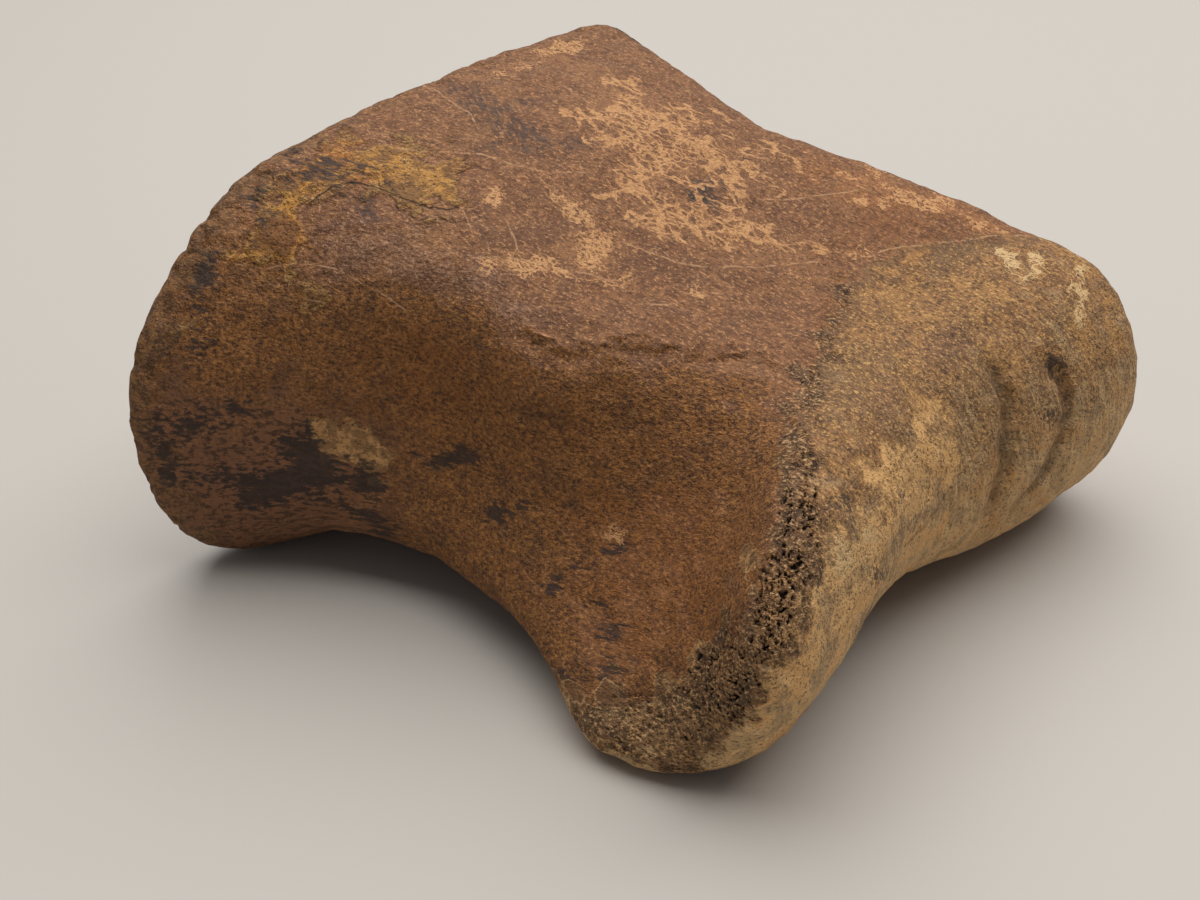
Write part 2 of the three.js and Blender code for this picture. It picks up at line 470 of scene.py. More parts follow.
# %% The two creases of the toe-side joint, each in a shallow valley
CREASE_DEPTH = 1.1
CREASE_HALF_WIDTH = 0.9
CREASE_WANDER = 0.5
CREASE_WANDER_SIZE = 4
CREASE_TAPER = 2.5  # points along the path
VALLEY_DEPTH = 0.7
VALLEY_HALF_WIDTH = 2.6
VALLEY_DEEPENS = (0.5, 3)  # points along the path, from its start
VALLEY_RUNS_OUT = 2  # and over this many at its end

crease_across, crease_weight = lines(skin, CREASES, CREASE_TAPER)
crease_across = crease_across + CREASE_WANDER * rough(skin.spots, CREASE_WANDER_SIZE)
crease = bell(crease_across, CREASE_HALF_WIDTH) * crease_weight
valley = np.zeros(len(skin.spots))
for path in CREASES:
    distance, _, along = nearest_on_path(skin.pixels, path)
    last = len(path) - 1
    ends = smooth(along, *VALLEY_DEEPENS) * (1 - smooth(along, last - VALLEY_RUNS_OUT, last))
    valley = np.maximum(valley, bell(distance * skin.pixel_size, VALLEY_HALF_WIDTH) * ends)
valley = valley * skin.in_view
press(bone, crease, CREASE_DEPTH)
press(bone, valley, VALLEY_DEPTH)

# %% The crumbled crest of the shoulder, with a hollow below it
CREST_HEIGHT = 0.36
CREST_HALF_WIDTH = 1.0
CREST_TAPER = 1.0  # points along the path
CREST_WANDER = 1.2
CREST_WANDER_SIZE = 3.5
CRUMB_SIZE = 3.0
CRUMBS_BETWEEN = (-0.5, 0.35)  # of noise about 0
HOLLOW_BELOW_CREST = 2.0

crest_across, crest_weight = lines(skin, [SHOULDER_CREST], CREST_TAPER)
crest_across = crest_across + CREST_WANDER * rough(skin.spots, CREST_WANDER_SIZE)
crumble = smooth(rough(skin.spots, CRUMB_SIZE), *CRUMBS_BETWEEN) * crest_weight
crest = bell(crest_across, CREST_HALF_WIDTH) * crumble
under_crest = bell(crest_across - HOLLOW_BELOW_CREST, CREST_HALF_WIDTH) * crumble
press(bone, crest, -CREST_HEIGHT)
press(bone, under_crest, CREST_HEIGHT)

# %% Chips inside the rim of the ankle-side joint
CHIP_SIZE = 2.6
CHIP_DEPTH = 0.7
CHIPS_BETWEEN = (0.0, 0.7)  # of noise about 0
CHIPS_INSIDE_RIM = 6
CHIPS_HALF_WIDTH = 5

ankle_rim = ankle_joint(skin.spots)
toe_rim = toe_joint(skin.spots)
by_the_rim = bell(ankle_rim - CHIPS_INSIDE_RIM, CHIPS_HALF_WIDTH)
chips = smooth(rough(skin.spots, CHIP_SIZE), *CHIPS_BETWEEN) * by_the_rim
press(bone, chips, CHIP_DEPTH)

# %% Lumps and grain all over
LUMP_SIZE = 9.0
LUMP_HEIGHT = 0.7
GRAIN_SIZE = 2.6
GRAIN_HEIGHT = 0.3
EVEN_SPREAD = 0.6

press(bone, cloudy(LUMP_SIZE, spread=EVEN_SPREAD), LUMP_HEIGHT)
press(bone, cloudy(GRAIN_SIZE, spread=EVEN_SPREAD), GRAIN_HEIGHT)

# %% [markdown]
# ## Open spongy bone
#
# Inside a bone is a froth of thin walls, and where the skin is worn off, its holes stand open.
# Modelled one by one they would be hundreds of pieces. Instead each point looks up the nearest of
# many random centres, and is pressed in when it is close to one. The places are bent by noise
# first, so that the holes aren't round, and their sizes differ.

# %% The holes
HOLE_SIZE_FINE = 0.8
HOLE_SIZE_COARSE = 1.2
HOLE_DEPTH = 0.75
FINE_SHARE = 0.5  # fine holes are only this deep, as a share
BENDS = ((0.5, 1.3), (0.25, 3))  # how far places are bent, and how finely, in cells
HOLE_RADIUS = 0.36  # in cells
RADIUS_SPREAD = 0.4
RADIUS_FINENESS = 3.7
FLOOR_SHARE = 0.45  # of the radius, within which a hole is deepest
HOLE_SEED = 7  # noise_vector goes by the clock unless it is seeded
noise.seed_set(HOLE_SEED)


def holes(spots, cell):
    """1 in the middle of a hole, 0 on the walls between, for holes one to a cell."""
    found = np.zeros(len(spots))
    for number, spot in enumerate(spots):
        place = Vector(spot) / cell
        bent = place.copy()
        for reach, fineness in BENDS:
            bent += reach * noise.noise_vector(place * fineness)
        distances, centres = noise.voronoi(bent)
        radius = HOLE_RADIUS + RADIUS_SPREAD * noise.noise(centres[0] * RADIUS_FINENESS)
        found[number] = 1 - smooth(distances[0], radius * FLOOR_SHARE, radius)
    return found


# %% The holes in their band
EDGE_WANDER = 2.0
EDGE_WANDER_SIZE = 4
EDGE_BETWEEN = (-0.3, 0.5)
WORN_OPEN_SIZE = 4.5
WORN_OPEN_BETWEEN = (-0.45, 0.05)  # of noise about 0
NOISE_SHIFT = 30

band_edge = sponge_band(skin) + EDGE_WANDER * rough(skin.spots, EDGE_WANDER_SIZE)
inside_band = smooth(band_edge, *EDGE_BETWEEN)
coarse = coarse_sponge(skin)
hole = np.zeros(len(skin.spots))
in_band = inside_band > 0.01
fine_holes = holes(skin.spots[in_band], HOLE_SIZE_FINE) * FINE_SHARE
coarse_holes = holes(skin.spots[in_band], HOLE_SIZE_COARSE)
hole[in_band] = np.maximum(fine_holes, coarse_holes * coarse[in_band]) * inside_band[in_band]
hole = hole * smooth(rough(skin.spots + NOISE_SHIFT, WORN_OPEN_SIZE), *WORN_OPEN_BETWEEN)
press(bone, hole, HOLE_DEPTH)
print(f"{np.count_nonzero(hole > 0.3)} points in holes, {len(bone.data.polygons)} faces in all")

# %% [markdown]
# ## Where each colour lies
#
# The colours of a fossil are minerals: iron makes it rust and ochre, manganese stains it nearly
# black, and lime fills its cracks with cream veins. Each kind is one number per point, stored on
# the mesh as an attribute: millimetres inside its patches. The material later roughens the edges
# with noise, so an outline here needs only the few points that give a patch its shape. A blot is
# an oval: its middle across and down, and its half width and half height, all in pixels.

# %% The lace of cream veins, and the cream flakes of the far ridge
LACE = [
    [(603, 76), (632, 78), (650, 94), (684, 98), (714, 112), (704, 126), (724, 143), (744, 166),
     (768, 178), (800, 188), (778, 193), (748, 190), (742, 204), (766, 226), (744, 236),
     (732, 246), (692, 246), (656, 234), (628, 212), (604, 196), (600, 176), (614, 156),
     (590, 132), (562, 112), (582, 104), (606, 104), (618, 94)],
]
LACE_BLOTS = [
    (729, 132, 6, 6), (745, 145, 14, 6), (780, 151, 5, 5), (791, 161, 5, 4), (796, 247, 15, 4),
]
LACE_GAP = [(706, 191, 19, 9)]
FAR_RIDGE_FLAKES = [
    [(812, 160), (860, 171), (910, 186), (960, 203), (1010, 222), (990, 228), (940, 215),
     (895, 200), (850, 186), (822, 174)],
]

# %% Other cream patches
CREAM = [
    [(486, 68), (520, 56), (560, 42), (596, 32), (606, 32), (604, 38), (566, 48), (530, 60),
     (496, 73)],
    [(996, 248), (1010, 246), (1019, 258), (1024, 272), (1030, 290), (1022, 290), (1013, 270)],
    [(574, 236), (592, 227), (617, 227), (613, 246), (605, 266), (588, 268), (577, 260)],
    [(480, 262), (505, 256), (517, 250), (530, 256), (560, 262), (566, 270), (530, 272),
     (505, 268)],
    [(535, 167), (556, 178), (570, 196), (590, 216), (612, 232), (600, 232), (580, 218),
     (564, 203), (548, 184)],
]
CREAM_BLOTS = [
    (610, 280, 12, 5), (1038, 259, 4, 8), (1076, 283, 5, 8), (1085, 300, 4, 7), (612, 713, 8, 5),
    (608, 532, 4, 3), (870, 253, 9, 4), (493, 190, 8, 10), (702, 292, 14, 3), (750, 585, 8, 5),
    (846, 560, 12, 18), (832, 602, 8, 12), (866, 536, 9, 7),
]

# %% The ochre crust
CRUST = [
    [(337, 135), (382, 137), (425, 148), (457, 160), (458, 182), (463, 203), (427, 205),
     (407, 197), (390, 189), (374, 183), (352, 181), (332, 185), (318, 193), (308, 204),
     (301, 222), (318, 240), (314, 262), (298, 252), (290, 274), (274, 260), (262, 280),
     (247, 261), (232, 268), (220, 256), (234, 247),
     (258, 226), (262, 200), (275, 180), (296, 166), (310, 156)],
]
CRUST_BLOTS = [
    (286, 291, 7, 3), (322, 301, 8, 4), (302, 309, 5, 3), (262, 302, 4, 3), (190, 322, 7, 9),
]

# %% The tan film, and the flaked scale by the near condyle
TAN_FILM = [
    [(312, 423), (333, 422), (352, 425), (378, 427), (402, 436), (403, 446), (390, 452),
     (394, 464), (388, 478), (373, 472), (347, 462), (325, 456), (315, 440)],
]
TAN_FILM_BLOTS = [
    (191, 322, 9, 8), (632, 413, 10, 8), (750, 561, 10, 7), (668, 684, 30, 11), (700, 655, 14, 14),
]
SCALE = [
    [(548, 668), (556, 672), (560, 682), (552, 688)],
    [(560, 680), (572, 678), (588, 684), (592, 698), (578, 702), (566, 694)],
    [(590, 690), (602, 680), (614, 686), (614, 700), (602, 706), (592, 700)],
]
SCALE_BLOTS = [(636, 694, 10, 5), (652, 688, 8, 4), (622, 704, 7, 4)]

# %% Dark stains and slanting streaks
STAIN = [
    [(299, 422), (310, 430), (325, 456), (352, 467), (386, 477), (383, 490), (370, 496),
     (339, 493), (304, 498), (273, 506), (241, 506), (236, 485), (252, 472), (283, 469),
     (283, 443), (292, 434)],
    [(349, 510), (362, 506), (376, 512), (380, 522), (396, 530), (386, 532), (370, 522),
     (355, 518)],
]
STAIN_BLOTS = [
    (205, 276, 10, 17), (198, 306, 9, 13), (192, 345, 6, 10), (168, 378, 6, 12),
    (158, 440, 10, 18), (164, 475, 12, 12), (252, 202, 7, 10), (316, 160, 12, 4),
    (345, 170, 18, 4), (210, 410, 22, 6), (180, 425, 20, 6), (205, 478, 18, 5),
    (706, 191, 18, 8), (556, 585, 6, 6), (585, 560, 8, 5), (592, 600, 7, 5), (612, 628, 6, 4),
    (604, 548, 5, 4), (575, 610, 5, 5), (500, 515, 9, 5), (1054, 414, 4, 4), (848, 503, 5, 4),
    (813, 583, 3, 3), (886, 574, 9, 4), (1058, 366, 6, 5), (440, 463, 12, 3), (462, 460, 7, 3),
    (575, 672, 20, 8),
]
STREAKS = [
    [(436, 78), (470, 70), (500, 80), (540, 108), (585, 140), (600, 165), (560, 166), (520, 162),
     (484, 150), (452, 116)],
    [(330, 188), (380, 192), (400, 206), (372, 222), (334, 214)],
]

# %% Rust, and a violet-grey painted sheen on the shoulder
RUST = [
    [(600, 470), (680, 470), (735, 520), (742, 590), (700, 650), (640, 680), (590, 660),
     (570, 600), (580, 530)],
    [(800, 165), (850, 172), (905, 184), (960, 200), (1010, 222), (960, 226), (915, 236),
     (860, 240), (850, 205), (820, 188)],
]
RUST_BLOTS = [(270, 225, 30, 25), (400, 170, 40, 14), (430, 380, 60, 40), (885, 232, 40, 16)]
# The outline of a violet-grey painted sheen on the shoulder's crest.
PAINTED_SHEEN = [
    [(296, 226), (345, 222), (400, 240), (470, 250), (500, 268), (528, 298), (510, 304),
     (480, 286), (430, 278), (380, 274), (320, 262)],
]

# %% Cracks filled with cream, and dark folds
CRACKS = [
    [(380, 138), (400, 147), (440, 150), (482, 152), (512, 163), (545, 169), (602, 171)],
    [(504, 212), (510, 226), (516, 240), (519, 254)],
    [(466, 258), (490, 255), (517, 256), (545, 262), (590, 272), (622, 282)],
    [(461, 205), (468, 218), (474, 236)],
    [(752, 197), (790, 197), (837, 191), (880, 183)],
    [(618, 237), (650, 250), (680, 262), (720, 267), (770, 264), (830, 258)],
    [(626, 306), (640, 301), (660, 303), (674, 303)],
    [(694, 295), (712, 291), (735, 294)],
    [(535, 167), (552, 183), (570, 203), (592, 222)],
    [(370, 60), (440, 90), (470, 112), (480, 130)],
    [(560, 80), (578, 92), (596, 104)],
    [(228, 262), (262, 268), (300, 262), (335, 268), (362, 284), (385, 296), (412, 318)],
    [(283, 284), (292, 296), (305, 300), (330, 304)],
    [(370, 270), (392, 262), (416, 266)],
    [(872, 252), (905, 244), (950, 239), (1000, 233), (1046, 233)],
]
DARK_FOLDS = [
    [(640, 668), (646, 676), (655, 678), (664, 670), (668, 657)],
    [(956, 484), (940, 508), (922, 532), (906, 552)],
]

# %% Stretches of smoother, rougher, paler and duskier bone
SMOOTH_BONE = [
    [(290, 215), (345, 215), (400, 240), (470, 250), (480, 275), (440, 292), (390, 284),
     (340, 276), (290, 262)],
]
GRANULAR_BONE = [
    [(655, 352), (720, 360), (780, 366), (805, 380), (795, 480), (700, 480), (650, 420)],
    [(830, 262), (860, 262), (845, 300), (822, 345), (806, 340), (815, 300)],
]
PALE_JOINT = [
    [(800, 596), (838, 550), (876, 510), (896, 462), (916, 436), (940, 434), (950, 470),
     (925, 525), (890, 570), (850, 630), (808, 684), (775, 708), (750, 712), (768, 660)],
]
DUSKY_JOINT = [
    [(920, 345), (942, 328), (972, 330), (978, 352), (952, 368), (928, 364)],
    [(872, 400), (890, 380), (905, 400), (900, 430), (880, 436)],
]

# %% One stored value for each
FLAKES_INSET = 1.0


def store(thing, name, values):
    """Keeps one number per point on the mesh, for the material to read."""
    layer = thing.data.attributes.new(name, "FLOAT", "POINT")
    layer.data.foreach_set("value", np.asarray(values, np.float32))


crack_across, crack_weight = lines(skin, CRACKS)
flake_across, flake_weight = lines(skin, [FLAKE_EDGE])
fold_across, fold_weight = lines(skin, DARK_FOLDS)
values = {
    "toe_joint": toe_rim,
    "ankle_joint": ankle_rim,
    "lace": np.minimum(patches(skin, LACE, LACE_BLOTS), 1 - patches(skin, [], LACE_GAP)),
    "flakes": patches(skin, FAR_RIDGE_FLAKES) - FLAKES_INSET,
    "crust": patches(skin, CRUST, CRUST_BLOTS),
    "tan_film": patches(skin, TAN_FILM, TAN_FILM_BLOTS),
    "cream": patches(skin, CREAM, CREAM_BLOTS),
    "stain": patches(skin, STAIN, STAIN_BLOTS),
    "scale": patches(skin, SCALE, SCALE_BLOTS),
    "streak": patches(skin, STREAKS),
    "rust": patches(skin, RUST, RUST_BLOTS),
    "painted_sheen": patches(skin, PAINTED_SHEEN),
    "pale": patches(skin, PALE_JOINT),
    "dusky": patches(skin, DUSKY_JOINT),
    "crack_across": crack_across,
    "crack": crack_weight,
    "flake_across": flake_across,
    "flake": flake_weight,
    "fold_across": fold_across,
    "fold": fold_weight,
    "sponge": sponge_band(skin),
    "hole": hole,
    "crease": crease,
    "valley": valley,
    "smooth": patches(skin, SMOOTH_BONE),
    "granular": patches(skin, GRANULAR_BONE),
    "unseen": 1 - skin.in_view,
    "cloud": cloudy(15),
    "mottle": cloudy(5, octaves=4, shift=50),
    "hidden": cloudy(19, octaves=5, shift=90),
}
for name, value in values.items():
    store(bone, name, value)
print(len(values), "values stored on each point")

# %% [markdown]
# ## The stone's material
#
# One node material covers the bone. It works as a painter would: a ground colour for each kind of
# surface, then one mineral after another laid over it, each with its own grain. Every pattern
# reads Object coordinates, so it is fixed in the bone and the same size everywhere. The short
# helpers below add one node each, so that the recipe further down reads as plain lines.

# %% Small helpers for the material's nodes
stone = bpy.data.materials.new("fossil_bone")
stone.use_nodes = True
tree = stone.node_tree
tree.nodes.clear()


def node(kind, inputs=None, **settings):
    """Adds a node, sets it up, and joins or sets its inputs."""
    made = tree.nodes.new(kind)
    for name, value in settings.items():
        setattr(made, name, value)
    for name, value in (inputs or {}).items():
        if isinstance(value, bpy.types.NodeSocket):
            tree.links.new(value, made.inputs[name])
        else:
            made.inputs[name].default_value = value
    return made


def calc(operation, first, second=0.0, third=0.0):
    """One step of arithmetic on patterns or numbers."""
    inputs = {0: first, 1: second, 2: third}
    return node("ShaderNodeMath", inputs, operation=operation).outputs[0]


def rise(value, low, high):
    """0 below low, 1 above high, soft between; the other way round where low is above high."""
    inputs = {"Value": value, "From Min": low, "From Max": high}
    ramp = node("ShaderNodeMapRange", inputs, interpolation_type="SMOOTHSTEP")
    return ramp.outputs["Result"]


def both(first, second):
    return calc("MULTIPLY", first, second)


def either(first, second):
    return calc("MAXIMUM", first, second)


def mark(name):
    """A value stored on the mesh."""
    return node("ShaderNodeAttribute", attribute_name=name).outputs["Fac"]


def colour(red, green, blue):
    """A colour as a painting program gives it, from 0 to 255, in the renderer's own terms."""
    shares = [part / 255 for part in (red, green, blue)]
    return (*[c / 12.92 if c <= 0.04045 else ((c + 0.055) / 1.055) ** 2.4 for c in shares], 1)


def over(under, paint, amount):
    """Lays a paint over what is there, by an amount from 0 to 1."""
    mixed = node("ShaderNodeMix", {"Factor": amount, "A": under, "B": paint}, data_type="RGBA")
    return mixed.outputs["Result"]


def lay(under, paint, where, amount):
    """Lays a plain paint over what is there: where it lies, 0 to 1, and how strongly."""
    return over(under, colour(*paint), both(where, amount))


def two_tone(first, second, pattern, start, full):
    """A first paint that gives way to a second as the pattern rises from start to full."""
    return over(colour(*first), colour(*second), rise(pattern, start, full))


def layered(under, layers):
    """Lays paints one on another: paint, its pattern, where that starts and is full, amount."""
    for paint, pattern, start, full, amount in layers:
        under = lay(under, paint, rise(pattern, start, full), amount)
    return under


# %% Helpers for the patterns
object_places = node("ShaderNodeTexCoord").outputs["Object"]


def grain(size, detail, roughness, stretch=(1, 1, 1), turn=0):
    """Cloudy noise about 0.5, its forms this many millimetres wide, drawn out, then turned."""
    places = object_places
    if stretch != (1, 1, 1):
        settings = {"Vector": places, "Rotation": (0, 0, math.radians(turn)), "Scale": stretch}
        places = node("ShaderNodeMapping", settings, vector_type="TEXTURE").outputs[0]
    inputs = {"Vector": places, "Scale": 1 / (size * MM)}
    inputs |= {"Detail": detail, "Roughness": roughness}
    return node("ShaderNodeTexNoise", inputs).outputs["Fac"]


def cells(size, feature="F1", where=None):
    """Distance from the middle, or to the edge, of random cells, in shares of their size."""
    inputs = {"Vector": where or object_places, "Scale": 1 / (size * MM)}
    return node("ShaderNodeTexVoronoi", inputs, feature=feature).outputs["Distance"]


def shifted(value, by, share):
    """A value with a share of another added."""
    return calc("MULTIPLY_ADD", by, share, value)


# %% [markdown]
# ## Patterns that the paints share
#
# Bone is patterned at many sizes at once: clouds, mottling, flecks, and a grit near the limit of
# sight. Its fibres run along it, so two of the noises are drawn out that way, and a third hangs
# down the tan joint face. Sway and jitter move the edges of the stored patches, which makes them
# ragged without longer outlines.

# %% The patterns
cloud = mark("cloud")
mottle = mark("mottle")
hidden = mark("hidden")
unseen = mark("unseen")
fleck = grain(1.9, 4, 0.68)
grit = grain(0.55, 2, 0.85, stretch=(1.4, 1, 1), turn=12)
fibre = grain(0.8, 2, 0.7, stretch=(8, 1, 1), turn=12)
slant = grain(0.9, 2, 0.7, stretch=(7, 1, 1), turn=-31)
drip = grain(1.3, 2, 0.7, stretch=(2.5, 1, 4))
pits = cells(1.2)
place_xyz = node("ShaderNodeSeparateXYZ", {0: object_places}).outputs
outward = node("ShaderNodeTexCoord").outputs["Normal"]
facing_up = node("ShaderNodeSeparateXYZ", {0: outward}).outputs["Z"]
sway = calc("ADD", calc("MULTIPLY", mottle, 4.0), -2.0)
jitter = calc("ADD", calc("MULTIPLY", fleck, 3.0), -1.5)


def ragged(name, coarse, fine):
    """Millimetres inside a stored patch, whose edge wanders by these shares of two noises."""
    return shifted(shifted(mark(name), sway, coarse), jitter, fine)


print(len(tree.nodes), "nodes for the patterns")

# %% [markdown]
# ## The grounds
#
# Whole stretches of the bone differ: a smooth mauve-brown dorsal side, rough rusty flanks that
# are polished low down near the ankle end, a tan joint face and a dull lip round the other. Each
# ground is two tones, with darker and lighter grain over it. The grit drives the bump too, so its
# light tone sits on raised grains as a painted highlight and its dark tone in the hollows as
# painted shade, besides being the stone's own speckle. In the lists below, a layer is its
# paint, its pattern, where that starts, where it is full, and its amount.

# %% The dorsal side
dorsal = two_tone((140, 94, 57), (116, 75, 46), fleck, 0.42, 0.58)
# Light and dark grit: the stone's speckle, and painted highlight on raised grains and painted
# shade in their hollows.
dorsal_layers = [
    ((150, 104, 65), cloud, 0.5, 0.75, 0.5),  # paler clouds
    ((108, 72, 47), mottle, 0.5, 0.7, 0.5),  # brown mottling
    ((76, 49, 36), fibre, 0.42, 0.34, 0.6),  # dark fibres
    ((80, 52, 36), grit, 0.46, 0.36, 0.68),  # dark grit
    ((208, 154, 104), grit, 0.55, 0.66, 0.66),  # light grit
]
dorsal = layered(dorsal, dorsal_layers)

# %% The flanks
to_ankle = rise(place_xyz["X"], -12 * MM, -38 * MM)
low_down = rise(shifted(place_xyz["Z"], sway, 2 * MM), 46 * MM, 30 * MM)
is_polished = both(to_ankle, low_down)
flank = two_tone((142, 92, 47), (122, 80, 44), fleck, 0.4, 0.6)
# Light and dark grit: the stone's speckle, and painted highlight on raised grains and painted
# shade in their hollows.
flank_layers = [
    ((196, 138, 74), grit, 0.52, 0.64, 0.55),  # light grit
    ((56, 37, 26), grit, 0.48, 0.36, 0.75),  # dark grit
    ((62, 43, 34), mottle, 0.35, 0.1, 0.3),  # dark mottling
]
flank = layered(flank, flank_layers)
polished = two_tone((134, 93, 67), (72, 51, 41), fibre, 0.52, 0.42)
flank = over(flank, polished, both(is_polished, 0.72))

# %% The toe-side joint face: tan above, paler and streaked further down, its lowest part lightened as painted light
high_up = place_xyz["Z"]
downward = rise(shifted(high_up, sway, 4 * MM), 52 * MM, 12 * MM)
joint = two_tone((148, 103, 60), (120, 84, 51), fleck, 0.42, 0.58)
joint_layers = [
    ((174, 128, 74), mottle, 0.5, 0.8, 0.6),  # light mottling
    ((118, 88, 56), cloud, 0.5, 0.2, 0.6),  # olive clouds
]
joint = layered(joint, joint_layers)
streaks = two_tone((150, 116, 78), (226, 188, 134), drip, 0.42, 0.58)
joint = over(joint, streaks, both(downward, 0.75))
# Painted light: below about 36 mm the face is lightened towards the bottom, where it turns from
# the lamp into shade.
joint = lay(joint, (250, 206, 146), rise(high_up, 36 * MM, 12 * MM), 0.65)

# %% Its pale, dusky, orange and grey stretches
is_pale = both(rise(ragged("pale", 2.5, 2.5), -3, 1), rise(fleck, 0.36, 0.52))
joint = lay(joint, (252, 198, 130), is_pale, 0.65)
is_dusky = rise(ragged("dusky", 1.0, 1.5), -1.5, 1.5)
joint = lay(joint, (112, 78, 56), is_dusky, 0.6)
is_orange = both(both(rise(mottle, 0.48, 0.7), rise(fleck, 0.4, 0.54)), downward)
joint = lay(joint, (222, 156, 88), is_orange, 0.5)
is_grey = both(rise(mottle, 0.4, 0.22), downward)
joint = lay(joint, (142, 118, 90), is_grey, 0.4)

# %% Its grit, and painted shade in its pits
# Light and dark grit: the stone's speckle, and painted highlight on raised grains and painted
# shade in their hollows.
joint_grit_and_painted_light = [
    ((224, 174, 106), grit, 0.54, 0.64, 0.62),  # light grit
    ((66, 47, 33), grit, 0.46, 0.35, 0.72),  # dark grit
]
joint = layered(joint, joint_grit_and_painted_light)
# Painted shade: dark dots stand for the shade in small pits, which the bump doesn't press in.
has_pits = both(rise(mottle, 0.3, 0.6), rise(high_up, 22 * MM, 40 * MM))
pit_shade = both(rise(shifted(pits, fleck, -1.0), -0.22, -0.34), has_pits)
joint = lay(joint, (56, 40, 28), pit_shade, 0.55)

# %% The lip round the ankle-side joint
lip = two_tone((134, 93, 56), (98, 68, 43), fleck, 0.42, 0.56)
# Light and dark grit: the stone's speckle, and painted highlight on raised grains and painted
# shade in their hollows.
lip_layers = [
    ((172, 126, 74), grit, 0.54, 0.64, 0.5),  # light grit
    ((54, 38, 28), grit, 0.43, 0.35, 0.65),  # dark grit
]
lip = layered(lip, lip_layers)

# %% Each ground in its place
smoother = shifted(facing_up, rise(mark("smooth"), -2, 2), 0.3)
smoother = shifted(smoother, rise(mark("granular"), -2, 3), -0.35)
is_dorsal = rise(shifted(smoother, sway, 0.08), 0.5, 0.78)
in_toe_joint = ragged("toe_joint", 1.2, 0.6)
is_toe_joint = rise(in_toe_joint, -0.6, 0.9)
at_joint_edge = both(rise(in_toe_joint, -0.4, 0.6), rise(in_toe_joint, 3.5, 1.0))
is_ankle_joint = rise(ragged("ankle_joint", 1.6, 0.8), -1.2, 1.6)
lip_shows = either(rise(place_xyz["Y"], 6 * MM, -24 * MM), rise(unseen, 0.2, 0.9))

ground = over(flank, dorsal, is_dorsal)
ground = over(ground, joint, is_toe_joint)
ground = lay(ground, (88, 64, 44), at_joint_edge, 0.4)
ground = over(ground, lip, both(is_ankle_joint, calc("MULTIPLY_ADD", lip_shows, 0.75, 0.2)))
print(len(tree.nodes), "nodes with the grounds")

# %% [markdown]
# ## The minerals
#
# Water left these on the bone one after another, so they are laid over the grounds in turn. Thin
# films let the grain show through; the violet-grey sheen among them is a painted highlight. The
# ochre crust is thick: it has clouds of its own, a dark line at its edge and a light rim inside
# that, and it stands up in the bump below.

# %% Rust, a light film along the far ridge, and a violet-grey painted sheen
is_rust = both(rise(ragged("rust", 2.5, 1.5), -5, 6), rise(grit, 0.36, 0.56))
painted = lay(ground, (146, 88, 36), is_rust, 0.42)
is_film = both(rise(ragged("flakes", 1.5, 2.0), -2.5, 1.5), rise(grit, 0.36, 0.52))
painted = lay(painted, (206, 138, 84), is_film, 0.4)
# Painted sheen: a violet-grey highlight on the shoulder's crest, broken by the grit.
is_painted_sheen = both(rise(ragged("painted_sheen", 1.5, 0.8), -3, 3), rise(grit, 0.42, 0.58))
painted = lay(painted, (156, 124, 106), is_painted_sheen, 0.36)

# %% The ochre crust
crust = two_tone((194, 132, 44), (126, 84, 38), fleck, 0.44, 0.56)
# Light and dark grit: the crust's speckle, and painted highlight on raised grains and painted
# shade in their hollows.
crust_layers = [
    ((176, 106, 42), cloud, 0.55, 0.35, 0.6),  # rusty clouds
    ((190, 138, 70), cloud, 0.45, 0.7, 0.6),  # sandy clouds
    ((216, 162, 92), grit, 0.56, 0.66, 0.6),  # light grit
    ((108, 74, 46), mottle, 0.46, 0.64, 0.65),  # brown mottling
    ((60, 42, 30), grit, 0.46, 0.36, 0.85),  # dark grit
]
crust = layered(crust, crust_layers)
in_crust = ragged("crust", 1.5, 1.4)
is_crust = rise(in_crust, -0.3, 0.4)
crust_edge = both(rise(in_crust, -0.9, -0.2), rise(in_crust, 0.8, 0.1))
crust = lay(crust, (72, 50, 36), both(crust_edge, rise(fleck, 0.48, 0.6)), 0.2)
crust_rim = both(rise(in_crust, 0.2, 0.6), rise(in_crust, 1.8, 0.9))
crust = lay(crust, (206, 162, 98), both(crust_rim, rise(grit, 0.44, 0.54)), 0.45)
painted = over(painted, crust, both(is_crust, 0.92))

# %% The tan film, the stains and the streaks
tan = two_tone((198, 150, 94), (146, 108, 68), fleck, 0.44, 0.56)
# Dark grit: speckle, and painted shade in the hollows between the raised grains.
tan = layered(tan, [((64, 46, 34), grit, 0.44, 0.36, 0.6)])
is_tan = rise(ragged("tan_film", 1.2, 1.6), -0.1, 0.2)
painted = over(painted, tan, both(is_tan, 0.9))

STAIN_PAINT = (56, 45, 40)
is_stain = rise(shifted(ragged("stain", 0.8, 0.8), fibre, -10), -6.0, -4.0)
painted = lay(painted, STAIN_PAINT, is_stain, 0.85)
is_streak = both(rise(ragged("streak", 1.5, 0), -1, 5), rise(slant, 0.56, 0.46))
painted = lay(painted, (66, 50, 43), is_streak, 0.75)
print(len(tree.nodes), "nodes with the minerals")

# %% [markdown]
# ## Minerals where the photograph doesn't reach
#
# The back and the sole have the same rust, tan film and stains. Large noise places them: each
# mineral takes its highest or lowest parts, edged with the finer patterns. The tan film stays off
# the ankle-side joint, whose face was covered by gristle in life.

